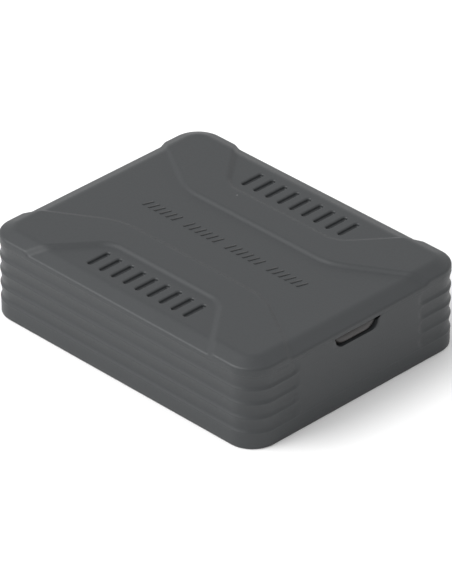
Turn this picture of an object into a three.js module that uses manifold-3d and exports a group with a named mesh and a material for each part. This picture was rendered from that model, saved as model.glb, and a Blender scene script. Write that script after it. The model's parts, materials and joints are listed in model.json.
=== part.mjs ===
// Vehicle position tracker: a two-shell moulded case with its board, antennas, modem and backup battery.
// Millimetres. X runs along the case, Y across it, Z up; the origin is the centre of the underside.

import * as THREE from "three";
import { mergeVertices } from "three/addons/utils/BufferGeometryUtils.js";
import Module from "manifold-3d";

const wasm = await Module();
wasm.setup();

// ---- driving dimensions: the case ------------------------------------------------------------
const LENGTH = 100;
const WIDTH = 78.4;
const CORNER_R = 8;
const SEAM_Z = 21.75;          // top of the base wall
const SEAM_GAP = 0.3;          // dark line between the shells
const LIP_TOP_Z = 23.6;        // the cover's upright rim ends and its slope begins
const TOP_Z = 25.4;            // low areas of the cover's top face
const SLOPE_INSET = 4.4;       // how far the slope runs in from the rim
const BAND_RISE = 0.8;         // the raised bands stand this far above the low areas
const WALL = 2.6;              // wall of both shells, ribs included
const FLOOR = 2.2;
const CEILING_Z = 23.35;       // underside of the cover's top face
const GAP = 0.3;               // clearance between touching pieces
const SOLDER = 0.1;            // gap under every part that is soldered to the board
const JOINED = 0.5;            // how far a boss or post reaches into the wall it grows from
const PAST = 1;                // how far a cutter runs past the face it cuts

const rib = { depth: 0.45, ledge: 1.1, pitch: 4.37, lowest: 4.9, count: 5, end: 21.5, footInset: 0.1 };
const slot = { y: -0.8, topWidth: 16.2, bottomWidth: 14.4, depth: 2.85, cornerR: 1.8 };
const slotPlug = { face: 0.2, flange: 1.2, overlap: 0.9 };   // its face stands this far back from the wall
const vent = { count: 9, pitch: 4.5, width: 2, length: 8.2, y: 28.4, depth: 1 };
const post = { x: 42.3, y: 31.4, r: 3.4, footR: 4.4, footTop: 8, top: 19, hole: 1.7, bore: 3, boreTop: 4.8 };
const tongue = { gap: 0.3, thick: 1.2, bottom: 20 };
const caseScrew = { headR: 2.6, head: 1.8, shankR: 1.4, tip: 22 };
const pilotTop = caseScrew.tip + 0.6;

// Where the edges of the two kinds of low area bend, and how steeply they then run out to the rim.
const centreHollow = { bendX: 27, bendY: 11.6, slope: 11.2 / 18.4 };
const ventHollow = { bendX: 20.3, bendY: 21.3, slope: 13.6 / 11 };
const relief = { wall: 1.2, steps: 2 };   // plan width of a raised band's sloped edge, and its steps

// ---- driving dimensions: the inside ------------------------------------------------------------
const board = { length: 90, width: 69, z: 12, thick: 1.6, cornerR: 1, notchX: 37.8, notchY: 26.9 };
const BOARD_TOP = board.z + board.thick;
const SEAT_Z = BOARD_TOP + SOLDER;        // every soldered part stands at this height
const leadNotch = { x: 21, width: 5, y: 31.2, length: 6 };
const standoff = { x: 40, y: 20, r: 2.8, hole: 1.4, holeFloor: 7 };
const boardScrew = { headR: 2.2, head: 1.5, shankR: 1.1, tip: 8 };
const pad = { length: 50, width: 30, thick: 0.8 };
const battery = { length: 60, width: 38, thick: 7, z: FLOOR + 0.9, edge: 1, leadZ: 7.2 };
const lead = { r: 0.6, spread: 1.1 };
const patch = { x: 3, y: 17, size: 25, height: 4, face: 19, faceThick: 0.25 };
const modem = { x: -24.5, y: 9, length: 24, width: 26.5, sheet: 0.8, rim: 1, shield: 2 };
const cellular = { x: -47.15, z: 4, thick: 0.3, width: 30, height: 15.5 };
const coax = { x: -39, y: 3, r: 0.5, socketR: 1, socket: 0.5, plugR: 1.5, plug: 1 };
const can = { foot: 6.3, footHeight: 0.8, r: 3, height: 5 };
const tamper = { x: 0, y: -30.5, size: 6, height: 5, hole: 1.9, r: 1.6, foot: 17, top: 20.2, presser: 3 };
const sim = { x: -24, y: -20, length: 16, width: 15, height: 2.8, skin: 0.3, floor: 0.8, slide: 0.3 };
const tray = { width: 12.4, thick: 1.4, lift: 0.15, grip: 1.2, rim: 1.3, bay: 0.4, finger: 4 };
const card = { lift: 0.45, thick: 0.7, length: 10.6, width: 9.4, clip: 1.6, back: 0.3 };
const slideSwitch = { x: 14, y: -30.5, length: 8.6, width: 3.6, height: 3.5, knob: 1.6, travel: 2 };
const header = { x: 31.5, y: slot.y, depth: 12, width: 23, height: 6.2, skin: 1, back: 3, latch: 5 };
const pin = { pitch: 3, count: 6, size: 0.64, length: 6, row: 0.95, block: 1.6 };
const jack = { x: 21, y: 24, width: 6.2, depth: 5.4, height: 4.4, wall: 0.8 };
const plug = { length: 5.4, ahead: 0.6 };

const colours = {
  casing: 0x3e4244, steel: 0x9a9c9e, board: 0x1c4a33, ceramic: 0xb9a98a, silver: 0xc6c7c8, tin: 0xa9abac,
  chip: 0x1c1d1f, copper: 0xb07a4a, black: 0x18191a, ivory: 0xd8d2bf, white: 0xe6e6e2, battery: 0x8d9296,
  pad: 0xd9d9d2, red: 0xa82020, gold: 0xc8a24a, card: 0xd8dce0, led: 0xd8e6b0, brown: 0x5a3c24,
};

// ---- solids ----------------------------------------------------------------------------------
function solid(geometry) {
  const bare = geometry.index ? geometry.toNonIndexed() : geometry.clone();
  bare.deleteAttribute("normal");
  bare.deleteAttribute("uv");
  const merged = mergeVertices(bare, 1e-4);
  return new wasm.Manifold(new wasm.Mesh({
    numProp: 3,
    vertProperties: new Float32Array(merged.attributes.position.array),
    triVerts: new Uint32Array(merged.index.array),
  }));
}

function geometryOf(manifold) {
  const mesh = manifold.asOriginal().simplify(0.002).getMesh();
  const geometry = new THREE.BufferGeometry();
  geometry.setAttribute("position", new THREE.BufferAttribute(new Float32Array(mesh.vertProperties), 3));
  geometry.setIndex(new THREE.BufferAttribute(new Uint32Array(mesh.triVerts), 1));
  geometry.computeVertexNormals();
  return geometry;
}

const union = (solids) => solids.reduce((whole, piece) => whole.add(piece));
const cut = (body, tools) => tools.reduce((left, tool) => left.subtract(tool), body);

function box(x, y, z0, w, d, h) {
  return solid(new THREE.BoxGeometry(w, d, h).translate(x, y, z0 + h / 2));
}

// An upright round post or bore from z0 to z1.
function upright(x, y, z0, z1, r, sides = 16) {
  const round = new THREE.CylinderGeometry(r, r, z1 - z0, sides).rotateX(Math.PI / 2);
  return solid(round.translate(x, y, (z0 + z1) / 2));
}

function roundedRect(w, d, r) {
  const [a, b] = [w / 2 - r, d / 2 - r];
  const shape = new THREE.Shape();
  shape.absarc(a, b, r, 0, Math.PI / 2);
  shape.absarc(-a, b, r, Math.PI / 2, Math.PI);
  shape.absarc(-a, -b, r, Math.PI, Math.PI * 1.5);
  shape.absarc(a, -b, r, Math.PI * 1.5, Math.PI * 2);
  return shape;
}

function prism(shape, z0, z1, curveSegments = 5) {
  return solid(new THREE.ExtrudeGeometry(shape, { depth: z1 - z0, bevelEnabled: false, curveSegments })
    .translate(0, 0, z0));
}

const outline = (inset) => roundedRect(LENGTH - 2 * inset, WIDTH - 2 * inset, CORNER_R - inset);

// A slice of the case whose outline grows by `size` on its way from z = narrow to z = wide.
function frustum(inset, size, narrow, wide) {
  const rise = Math.abs(wide - narrow);
  const waist = 0.01;
  const bevel = { bevelThickness: rise, bevelSize: size, bevelSegments: 1 };
  const options = { depth: waist, curveSegments: 5, ...bevel };
  const lens = solid(new THREE.ExtrudeGeometry(outline(inset), options).translate(0, 0, wide - waist / 2));
  const low = Math.min(narrow, wide);
  return lens.intersect(box(0, 0, low, LENGTH + 2, WIDTH + 2, rise));
}

// A block with chamfered edges.
function soft(x, y, z0, w, d, h, edge) {
  const cornerR = Math.min(w, d) * 0.08 + 0.05;
  const shape = roundedRect(w - 2 * edge, d - 2 * edge, cornerR);
  const bevel = { bevelThickness: edge, bevelSize: edge, bevelSegments: 1 };
  const options = { depth: h - 2 * edge, curveSegments: 1, ...bevel };
  return solid(new THREE.ExtrudeGeometry(shape, options).translate(x, y, z0 + edge));
}

function alongPath(points, r, steps) {
  const section = new THREE.Shape().absarc(0, 0, r, 0, Math.PI * 2);
  const path = new THREE.CatmullRomCurve3(points.map((p) => new THREE.Vector3(...p)));
  return solid(new THREE.ExtrudeGeometry(section, { steps, extrudePath: path, curveSegments: 4 }));
}

const quarters = [[1, 1], [-1, 1], [-1, -1], [1, -1]];

// ---- the base shell --------------------------------------------------------------------------
function ribbedWall() {
  const pieces = [prism(outline(rib.depth), 0, SEAM_Z), prism(outline(rib.footInset), 0, rib.lowest)];
  for (let k = 0; k < rib.count; k += 1) {
    const crest = rib.lowest + k * rib.pitch;
    pieces.push(frustum(rib.depth, rib.depth, crest - rib.pitch + rib.ledge, crest));
    pieces.push(frustum(rib.depth, rib.depth, crest + rib.ledge, crest));
  }
  const plainEnds = prism(outline(0), 0, SEAM_Z).intersect(box(0, 0, 0, LENGTH, 2 * rib.end, SEAM_Z));
  return union([...pieces, plainEnds]).intersect(box(0, 0, 0, LENGTH + 2, WIDTH + 2, SEAM_Z));
}

// The cable slot's outline, shrunk by `inset`, run along X from x0 to x1.
function slotPrism(inset, x0, x1) {
  const [top, low] = [slot.topWidth / 2 - inset, slot.bottomWidth / 2 - inset];
  const [deep, r] = [slot.depth - inset, slot.cornerR];
  const side = low + ((top - low) * r) / deep;
  const plan = new THREE.Shape();
  plan.moveTo(-top, 0);
  plan.lineTo(-side, r - deep);
  plan.quadraticCurveTo(-low, -deep, r - low, -deep);
  plan.lineTo(low - r, -deep);
  plan.quadraticCurveTo(low, -deep, side, r - deep);
  plan.lineTo(top, 0);
  const options = { depth: x1 - x0, bevelEnabled: false, curveSegments: 4 };
  const run = new THREE.ExtrudeGeometry(plan, options).rotateX(Math.PI / 2).rotateZ(Math.PI / 2);
  return solid(run.translate(x0, slot.y, SEAM_Z));
}

function cableSlot() {
  const [x0, x1] = [LENGTH / 2 - WALL - PAST, LENGTH / 2 + PAST];
  return slotPrism(0, x0, x1).add(box((x0 + x1) / 2, slot.y, SEAM_Z - 0.05, x1 - x0, slot.topWidth, PAST));
}

// A rubber plug that closes the slot: a body in the wall and a wider flange behind it.
function cableSlotPlug() {
  const wallX = LENGTH / 2 - WALL - GAP;
  const body = slotPrism(GAP, wallX - slotPlug.flange / 2, LENGTH / 2 - slotPlug.face);
  const [width, height] = [slot.bottomWidth + slotPlug.overlap, slot.depth + slotPlug.overlap];
  const flangeX = wallX - slotPlug.flange / 2;
  const flange = box(flangeX, slot.y, SEAM_Z - height, slotPlug.flange, width, height - 0.1);
  return body.add(flange);
}

function baseShell() {
  const hollow = prism(outline(WALL), FLOOR, SEAM_Z + PAST);
  const posts = quarters.flatMap(([sx, sy]) => [
    upright(sx * post.x, sy * post.y, FLOOR - JOINED, post.footTop, post.footR),
    upright(sx * post.x, sy * post.y, FLOOR - JOINED, post.top, post.r),
    upright(sx * standoff.x, sy * standoff.y, FLOOR - JOINED, board.z - SOLDER, standoff.r),
  ]);
  const holes = quarters.flatMap(([sx, sy]) => [
    upright(sx * post.x, sy * post.y, -PAST, post.boreTop, post.bore),
    upright(sx * post.x, sy * post.y, 0, post.top + PAST, post.hole),
    upright(sx * standoff.x, sy * standoff.y, standoff.holeFloor, board.z + PAST, standoff.hole),
  ]);
  return cut(union([ribbedWall().subtract(hollow), ...posts]), [...holes, cableSlot()]);
}

// ---- the cover -------------------------------------------------------------------------------
// The cover's outside at a height `rise` above the low areas; both the top face and the slope move out.
function coverBlock(rise) {
  const slopeShift = rise * Math.hypot(1, (TOP_Z - LIP_TOP_Z) / SLOPE_INSET);
  const lipTop = LIP_TOP_Z + slopeShift;
  const top = TOP_Z + rise;
  const inset = SLOPE_INSET * (top - lipTop) / (TOP_Z - LIP_TOP_Z);
  return prism(outline(0), SEAM_Z + SEAM_GAP, lipTop).add(frustum(inset, inset, top, lipTop));
}

// Plans of the low areas, grown by `grow` so that stacked copies give the sloped edge.
function centreHollowPlan(grow) {
  const { bendX, bendY, slope } = centreHollow;
  const [far, y] = [LENGTH, bendY + grow];
  const reach = y + (far - bendX) * slope;
  const shape = new THREE.Shape();
  shape.moveTo(-far, -reach).lineTo(-bendX, -y).lineTo(bendX, -y).lineTo(far, -reach);
  shape.lineTo(far, reach).lineTo(bendX, y).lineTo(-bendX, y).lineTo(-far, reach);
  return shape;
}

function ventHollowPlan(grow, side) {
  const { bendX, bendY, slope } = ventHollow;
  const flank = (Math.hypot(1, slope) - 1) / slope;   // moves the slanted edges as far as the straight one
  const [far, x, y] = [LENGTH, bendX + grow * flank, bendY - grow];
  const reach = x + (far - y) / slope;
  const corners = [[-x, y], [x, y], [reach, far], [-reach, far]];
  const points = corners.map(([px, py]) => new THREE.Vector2(px, side * py));
  return new THREE.Shape(side > 0 ? points : points.reverse());
}

function coverOutside() {
  let body = coverBlock(BAND_RISE);
  for (let k = 0; k < relief.steps; k += 1) {
    const grow = relief.wall * ((k + 0.5) / relief.steps - 0.5);
    const plans = [centreHollowPlan(grow), ventHollowPlan(grow, 1), ventHollowPlan(grow, -1)];
    const zone = union(plans.map((plan) => prism(plan, SEAM_Z, TOP_Z + BAND_RISE + PAST)));
    body = body.subtract(zone.subtract(coverBlock((BAND_RISE * k) / relief.steps)));
  }
  return body;
}

function ventCuts() {
  const plan = roundedRect(vent.width, vent.length, vent.width / 2 - 0.01);
  const groove = prism(plan, TOP_Z - vent.depth, TOP_Z + PAST, 2);
  const cuts = [];
  for (let k = 0; k < vent.count; k += 1) {
    const x = (k - (vent.count - 1) / 2) * vent.pitch;
    cuts.push(groove.translate([x, vent.y, 0]), groove.translate([x, -vent.y, 0]));
  }
  return cuts;
}

function locatingTongue() {
  const [near, far] = [WALL + tongue.gap, WALL + tongue.gap + tongue.thick];
  const ring = prism(outline(near), tongue.bottom, CEILING_Z + tongue.gap)
    .subtract(prism(outline(far), tongue.bottom - PAST, CEILING_Z));
  const reach = 4;
  return ring.subtract(box(LENGTH / 2 - reach, slot.y, 0, 2 * reach, slot.topWidth + 2, SEAM_Z + SEAM_GAP));
}

function topCover() {
  const shell = coverOutside().subtract(prism(outline(WALL), SEAM_Z, CEILING_Z));
  const bosses = quarters.map(([sx, sy]) => (
    upright(sx * post.x, sy * post.y, post.top + GAP, CEILING_Z + GAP, post.r)));
  const pilots = quarters.map(([sx, sy]) => upright(sx * post.x, sy * post.y, post.top, pilotTop, post.hole));
  const [presserZ, presserWidth] = [tamper.top + GAP, tamper.presser];
  const presser = box(tamper.x, tamper.y, presserZ, presserWidth, presserWidth, CEILING_Z + GAP - presserZ);
  return cut(union([shell, locatingTongue(), ...bosses, presser]), [...pilots, ...ventCuts()]);
}

// ---- board and what stands on it ---------------------------------------------------------------
function mainBoard() {
  const sheet = prism(roundedRect(board.length, board.width, board.cornerR), board.z, BOARD_TOP, 2);
  const [under, tall] = [board.z - PAST, board.thick + 2 * PAST];
  const cornerW = board.length / 2 - board.notchX + PAST;
  const cornerD = board.width / 2 - board.notchY + PAST;
  const corners = quarters.map(([sx, sy]) => {
    const [x, y] = [board.notchX + cornerW / 2, board.notchY + cornerD / 2];
    return box(sx * x, sy * y, under, cornerW, cornerD, tall);
  });
  const holes = quarters.map(([sx, sy]) => (
    upright(sx * standoff.x, sy * standoff.y, under, under + tall, standoff.hole)));
  const { x, y, width, length } = leadNotch;
  return cut(sheet, [...corners, ...holes, box(x, y + length / 2, under, width, length, tall)]);
}

// A screw whose head starts at headZ; its tip may be above the head or below it.
function panScrew(x, y, headZ, spec) {
  const side = Math.sign(spec.tip - headZ);
  const [headEnd, shankStart] = [headZ - side * spec.head, headZ - side * spec.head / 2];
  const head = upright(x, y, Math.min(headZ, headEnd), Math.max(headZ, headEnd), spec.headR);
  const shank = upright(x, y, Math.min(shankStart, spec.tip), Math.max(shankStart, spec.tip), spec.shankR, 8);
  return head.add(shank);
}

function simSocket() {
  const outer = box(sim.x, sim.y, SEAT_Z, sim.length, sim.width, sim.height);
  const room = sim.height - sim.floor - sim.skin;
  const channel = box(sim.x + PAST, sim.y, SEAT_Z + sim.floor, sim.length, tray.width + 2 * sim.slide, room);
  return outer.subtract(channel);
}

const trayZ = SEAT_Z + sim.floor + tray.lift;

function simTray() {
  const end = sim.x + sim.length / 2;
  const plate = box(sim.x + 0.9, sim.y, trayZ, sim.length - 1, tray.width, tray.thick);
  const grip = box(end + 0.9, sim.y, trayZ - 0.3, tray.grip, sim.width - 1, tray.thick + 0.6);
  const bayWidth = tray.width - 2 * tray.rim;
  const bay = box(sim.x - card.back, sim.y, trayZ + tray.bay, sim.length - 5, bayWidth, tray.thick + PAST);
  const finger = box(end - 0.4, sim.y, trayZ + 0.9, 2, tray.finger, tray.thick + PAST);
  return cut(union([plate, grip]), [bay, finger]);
}

function simCard() {
  const [w, d] = [card.length / 2, card.width / 2];
  const shape = new THREE.Shape();
  shape.moveTo(-w, -d).lineTo(w, -d).lineTo(w, d - card.clip);
  shape.lineTo(w - card.clip, d).lineTo(-w, d);
  const z = trayZ + card.lift;
  return prism(shape, z, z + card.thick).translate([sim.x - card.back, sim.y, 0]);
}

function harnessHeader() {
  const { x, y, depth, width, height, skin, back, latch } = header;
  const outer = box(x, y, SEAT_Z, depth, width, height);
  const mouth = box(x + back, y, SEAT_Z + skin, depth, width - 2 * skin, height - 2 * skin);
  const latchGap = box(x + back + 1, y, SEAT_Z + height / 2, depth - back - 1, latch, height);
  return cut(outer, [mouth, latchGap]);
}

function harnessPins() {
  const { depth, width, height, skin, back } = header;
  const mouthBack = header.x - depth / 2 + back + GAP;
  const [blockWidth, blockHeight] = [width - 2 * (skin + GAP), height - 2 * (skin + GAP)];
  const blockX = mouthBack + pin.block / 2;
  const block = box(blockX, header.y, SEAT_Z + skin + GAP, pin.block, blockWidth, blockHeight);
  const pins = [];
  for (let k = 0; k < pin.count; k += 1) {
    const y = header.y + (k - (pin.count - 1) / 2) * pin.pitch;
    for (const row of [-pin.row, pin.row]) {
      const z = SEAT_Z + height / 2 + row - pin.size / 2;
      pins.push(box(blockX + pin.length / 2, y, z, pin.length, pin.size, pin.size));
    }
  }
  return union([block, ...pins]);
}

function tamperSwitch() {
  const { x, y, size, height, hole } = tamper;
  const well = upright(x, y, tamper.foot - 1, tamper.top, hole);
  return soft(x, y, SEAT_Z, size, size, height, 0.3).subtract(well);
}

function batterySwitch() {
  const { x, y, length, width, height, knob, travel } = slideSwitch;
  const window = box(x, y, BOARD_TOP + height - 1.2, knob + travel + 0.8, knob + 0.5, 3);
  return soft(x, y, SEAT_Z, length, width, height, 0.25).subtract(window);
}

function switchSlider() {
  const { x, y, height, knob, travel } = slideSwitch;
  const foot = box(x - travel / 2, y, BOARD_TOP + height - 1, knob, knob, 1.5);
  return foot.add(box(x - travel / 2, y, BOARD_TOP + height + 0.4, knob - 0.3, knob - 0.3, 1.2));
}

function canCapacitor(x, y) {
  const foot = box(x, y, SEAT_Z, can.foot, can.foot, can.footHeight);
  const canZ = SEAT_Z + can.footHeight - 0.1;
  return foot.add(upright(x, y, canZ, canZ + can.height, can.r));
}

function batterySocket() {
  const { x, y, width, depth, height, wall } = jack;
  const outer = box(x, y, SEAT_Z, width, depth, height);
  return outer.subtract(box(x, y + PAST, SEAT_Z + wall, width - 2 * wall, depth, height - 2 * wall));
}

function batteryPlug() {
  const { x, y, width, depth, height, wall } = jack;
  const [w, h] = [width - 2 * (wall + GAP), height - 2 * (wall + GAP)];
  return soft(x, y + depth / 2 + plug.ahead, SEAT_Z + wall + GAP, w, plug.length, h, 0.2);
}

// From the pack's end, out under the board, up through the notch in its edge and back into the plug.
function batteryLead(side) {
  const x = jack.x + side * lead.spread;
  const packEnd = battery.width / 2 + GAP;
  const plugEnd = jack.y + jack.depth / 2 + plug.ahead + plug.length / 2 + GAP;
  const plugZ = SEAT_Z + jack.height / 2;
  const route = [
    [x, packEnd, battery.leadZ], [x, packEnd + 3, battery.leadZ], [x, 29.5, 8],
    [x, 32.9, 11], [x, 33, 14], [x, 32.1, plugZ], [x, plugEnd, plugZ],
  ];
  return alongPath(route, lead.r, 20);
}

// From the foot of the plate antenna over to the push-on plug on the modem.
function antennaCoax() {
  const plugZ = SEAT_Z + coax.socket + SOLDER + coax.plug / 2;
  const route = [
    [-46.1, 8, 16.4], [-45, 7.9, 17.2], [-43, 7, 17.2], [-41, 5.6, 15.9],
    [coax.x - 1.2, coax.y + 1.5, plugZ + 0.1],
  ];
  return alongPath(route, coax.r, 12);
}

// Plain soldered parts: place on the board, then length, width and height.
const chips = [
  ["gnss_receiver", 1.5, -4.5, 16, 12, 2.4, "tin"],
  ["microcontroller", 17, -5, 10, 10, 1.4, "chip"],
  ["flash_chip", 17, -17, 6, 5, 1.6, "chip"],
  ["accelerometer", 9, -17, 3, 3, 1, "chip"],
  ["crystal", -9.5, -2, 3.2, 5, 1.1, "tin"],
  ["power_inductor_1", 30.5, -21.5, 7.3, 7.3, 4.2, "chip"],
  ["power_inductor_2", 22, -25, 5, 5, 3, "chip"],
  ["tantalum_capacitor", 31, 15, 7.3, 4.3, 2.9, "brown"],
  ["input_fuse", 31, 20.5, 6.1, 2.7, 2.2, "ivory"],
  ["surge_diode", 31, 25.5, 4.6, 2.8, 2.2, "chip"],
  ["status_led_1", -15, -32.4, 1.6, 1.2, 0.7, "led"],
  ["status_led_2", -11.5, -32.4, 1.6, 1.2, 0.7, "led"],
  ["status_led_3", -8, -32.4, 1.6, 1.2, 0.7, "led"],
];

// ---- assembly --------------------------------------------------------------------------------
const tracker = new THREE.Group();

function add(name, manifold, colour, roughness = 0.6, metalness = 0) {
  const material = new THREE.MeshStandardMaterial({ color: colours[colour], roughness, metalness });
  const mesh = new THREE.Mesh(geometryOf(manifold), material);
  mesh.name = name;
  tracker.add(mesh);
}

add("base_shell", baseShell(), "casing", 0.7);
add("top_cover", topCover(), "casing", 0.7);
add("slot_plug", cableSlotPlug(), "black", 0.8);
add("main_board", mainBoard(), "board", 0.5);

quarters.forEach(([sx, sy], k) => {
  const caseOne = panScrew(sx * post.x, sy * post.y, post.boreTop - SOLDER, caseScrew);
  const boardOne = panScrew(sx * standoff.x, sy * standoff.y, SEAT_Z, boardScrew);
  add(`cover_screw_${k + 1}`, caseOne, "steel", 0.35, 1);
  add(`board_screw_${k + 1}`, boardOne, "steel", 0.35, 1);
});

for (const [name, x, y, w, d, h, colour] of chips) {
  const metalness = colour === "tin" ? 1 : 0;
  add(name, soft(x, y, SEAT_Z, w, d, h, Math.min(0.3, h / 4)), colour, 0.5, metalness);
}

const patchTop = SEAT_Z + patch.height + SOLDER;
add("gnss_patch", soft(patch.x, patch.y, SEAT_Z, patch.size, patch.size, patch.height, 0.3), "ceramic", 0.7);
const patchFace = box(patch.x, patch.y, patchTop, patch.face, patch.face, patch.faceThick);
add("gnss_patch_face", patchFace, "silver", 0.3, 1);

const shieldZ = SEAT_Z + modem.sheet + SOLDER;
const [shieldX, shieldY] = [modem.length - 2 * modem.rim, modem.width - 2 * modem.rim];
add("modem_board", box(modem.x, modem.y, SEAT_Z, modem.length, modem.width, modem.sheet), "board", 0.5);
add("modem_shield", soft(modem.x, modem.y, shieldZ, shieldX, shieldY, modem.shield, 0.3), "tin", 0.35, 1);

const coaxPlugZ = SEAT_Z + coax.socket + SOLDER;
const plate = box(cellular.x, 0, cellular.z, cellular.thick, cellular.width, cellular.height);
add("cellular_antenna", plate, "copper", 0.5);
add("antenna_connector", upright(coax.x, coax.y, SEAT_Z, SEAT_Z + coax.socket, coax.socketR), "gold", 0.3, 1);
add("antenna_plug", upright(coax.x, coax.y, coaxPlugZ, coaxPlugZ + coax.plug, coax.plugR), "gold", 0.3, 1);
add("antenna_coax", antennaCoax(), "black", 0.5);
add("input_capacitor_1", canCapacitor(31, -30), "silver", 0.3, 1);
add("input_capacitor_2", canCapacitor(22.5, 15.5), "silver", 0.3, 1);
add("harness_header", harnessHeader(), "black", 0.5);
add("harness_pins", harnessPins(), "gold", 0.3, 1);
add("sim_socket", simSocket(), "tin", 0.35, 1);
add("sim_tray", simTray(), "black", 0.5);
add("sim_card", simCard(), "card", 0.4);
add("tamper_switch", tamperSwitch(), "black", 0.5);
add("tamper_plunger", upright(tamper.x, tamper.y, tamper.foot, tamper.top, tamper.r), "ivory", 0.5);
add("battery_switch", batterySwitch(), "tin", 0.35, 1);
add("switch_slider", switchSlider(), "black", 0.5);
const { length: packLength, width: packWidth, thick: packThick } = battery;
add("backup_battery", soft(0, 0, battery.z, packLength, packWidth, packThick, battery.edge), "battery", 0.5);
add("battery_pad", box(0, 0, FLOOR + 0.05, pad.length, pad.width, pad.thick), "pad", 0.9);
add("battery_socket", batterySocket(), "white", 0.5);
add("battery_plug", batteryPlug(), "white", 0.5);
add("battery_lead_red", batteryLead(1), "red", 0.5);
add("battery_lead_black", batteryLead(-1), "black", 0.5);

export default tracker;
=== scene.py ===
"""Vehicle position tracker: a ribbed two-shell case and the circuit inside it.

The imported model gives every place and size. The two case shells and the finer inner pieces are remade
here with their real surfaces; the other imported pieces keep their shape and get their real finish.
"""
import json
import math

import bmesh
import bpy
from mathutils import Matrix, Vector


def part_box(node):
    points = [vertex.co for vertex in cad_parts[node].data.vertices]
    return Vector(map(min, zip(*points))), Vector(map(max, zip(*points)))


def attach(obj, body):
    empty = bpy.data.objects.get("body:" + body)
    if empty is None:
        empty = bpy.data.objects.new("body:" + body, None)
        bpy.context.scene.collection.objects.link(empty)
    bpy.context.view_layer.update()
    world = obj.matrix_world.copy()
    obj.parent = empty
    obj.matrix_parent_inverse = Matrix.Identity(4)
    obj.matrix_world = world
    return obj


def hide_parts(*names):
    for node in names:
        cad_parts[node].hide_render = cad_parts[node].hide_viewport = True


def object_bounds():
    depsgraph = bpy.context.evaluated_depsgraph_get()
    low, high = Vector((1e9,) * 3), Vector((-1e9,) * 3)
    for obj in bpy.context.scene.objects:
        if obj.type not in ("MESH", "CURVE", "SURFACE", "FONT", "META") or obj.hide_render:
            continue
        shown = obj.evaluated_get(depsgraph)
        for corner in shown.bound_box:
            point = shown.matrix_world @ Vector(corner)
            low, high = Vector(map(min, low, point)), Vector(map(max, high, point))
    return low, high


MM = 0.001
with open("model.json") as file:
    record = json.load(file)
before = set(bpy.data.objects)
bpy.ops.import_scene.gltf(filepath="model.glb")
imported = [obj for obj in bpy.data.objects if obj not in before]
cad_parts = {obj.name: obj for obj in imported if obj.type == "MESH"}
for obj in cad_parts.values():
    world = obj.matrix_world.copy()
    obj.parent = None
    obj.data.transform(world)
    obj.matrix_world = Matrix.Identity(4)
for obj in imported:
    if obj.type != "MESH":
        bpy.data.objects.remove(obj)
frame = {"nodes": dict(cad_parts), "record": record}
NODES = frame["nodes"]
CAD_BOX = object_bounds()
scene = bpy.context.scene


# ---- camera ----------------------------------------------------------------------------------
CAMERA = dict(azimuth=45.64, elevation=32.23, roll=-0.276, distance=1467.3, lens=342.0, aim_z=15,
              shift_level=0.42, shift_rise=-4.0)


def make_camera():
    azimuth, elevation, roll = (math.radians(CAMERA[a]) for a in ("azimuth", "elevation", "roll"))
    back = Vector((math.sin(azimuth) * math.cos(elevation),
                   -math.cos(azimuth) * math.cos(elevation), math.sin(elevation)))
    level = Vector((math.cos(azimuth), math.sin(azimuth), 0))
    rise = back.cross(level)
    aim = (Vector((0, 0, CAMERA["aim_z"])) + level * CAMERA["shift_level"] + rise * CAMERA["shift_rise"]) * MM
    right = level * math.cos(roll) + rise * math.sin(roll)
    up = back.cross(right)
    data = bpy.data.cameras.new("camera")
    data.sensor_fit = "VERTICAL"
    data.sensor_height = 36
    data.lens = CAMERA["lens"]
    data.clip_start, data.clip_end = 0.05, 20
    camera = bpy.data.objects.new("camera", data)
    turn = Matrix((right, up, back)).transposed().to_4x4()
    camera.matrix_world = Matrix.Translation(aim + back * CAMERA["distance"] * MM) @ turn
    scene.collection.objects.link(camera)
    scene.camera = camera


make_camera()

# ---- sizes of the case, in millimetres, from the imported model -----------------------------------
BASE_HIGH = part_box("base_shell")[1] / MM
COVER_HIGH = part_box("top_cover")[1] / MM
HALF_X, HALF_Y = BASE_HIGH.x, BASE_HIGH.y
SEAM_Z = BASE_HIGH.z
CORNER_R = 8.0
WALL = 2.6
FLOOR_Z = 2.2
CEILING_Z = 23.35
RELIEF_RISE = 0.8
TOP_Z = COVER_HIGH.z - RELIEF_RISE
COVER_LOW_SEAM = SEAM_Z + 0.4
RIM_Z = SEAM_Z - 0.1
LIP_Z = TOP_Z - 1.8
SLOPE_INSET = 4.4
EDGE_ROUND = 0.9
RELIEF_WALL = 1.25
RIB = dict(depth=0.5, ledge=1.05, pitch=4.37, lowest=4.9, count=5, end=21.5, end_length=2.2)
SLOT = dict(y=-0.8, top=16.2, bottom=14.4, depth=2.85, corner=1.8)
VENT = dict(count=9, pitch=4.5, width=2.5, length=8.6, y=28.4, depth=1.0, fillet=0.55)
POST = Vector((42.3, 31.4))
STANDOFF = Vector((40, 20))


# ---- small maths -------------------------------------------------------------------------------
def clamp01(t):
    return min(max(t, 0.0), 1.0)


def smooth(t):
    t = clamp01(t)
    return t * t * (3 - 2 * t)


def soft_min(a, b, radius):
    overlap = max(radius - abs(a - b), 0) / radius
    return min(a, b) - overlap * overlap * radius / 4


def soft_max(a, b, radius):
    return -soft_min(-a, -b, radius)


# ---- mesh helpers ------------------------------------------------------------------------------
def piece(name, bm, material, body, replaced=(), sharp=35):
    """Turns a bmesh in millimetres into a finished piece that rides on a body."""
    bmesh.ops.scale(bm, vec=(MM, MM, MM), verts=bm.verts)
    mesh = bpy.data.meshes.new(name)
    bm.to_mesh(mesh)
    bm.free()
    made = bpy.data.objects.new(name, mesh)
    scene.collection.objects.link(made)
    return finish_piece(made, material, body, replaced, sharp)


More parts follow.
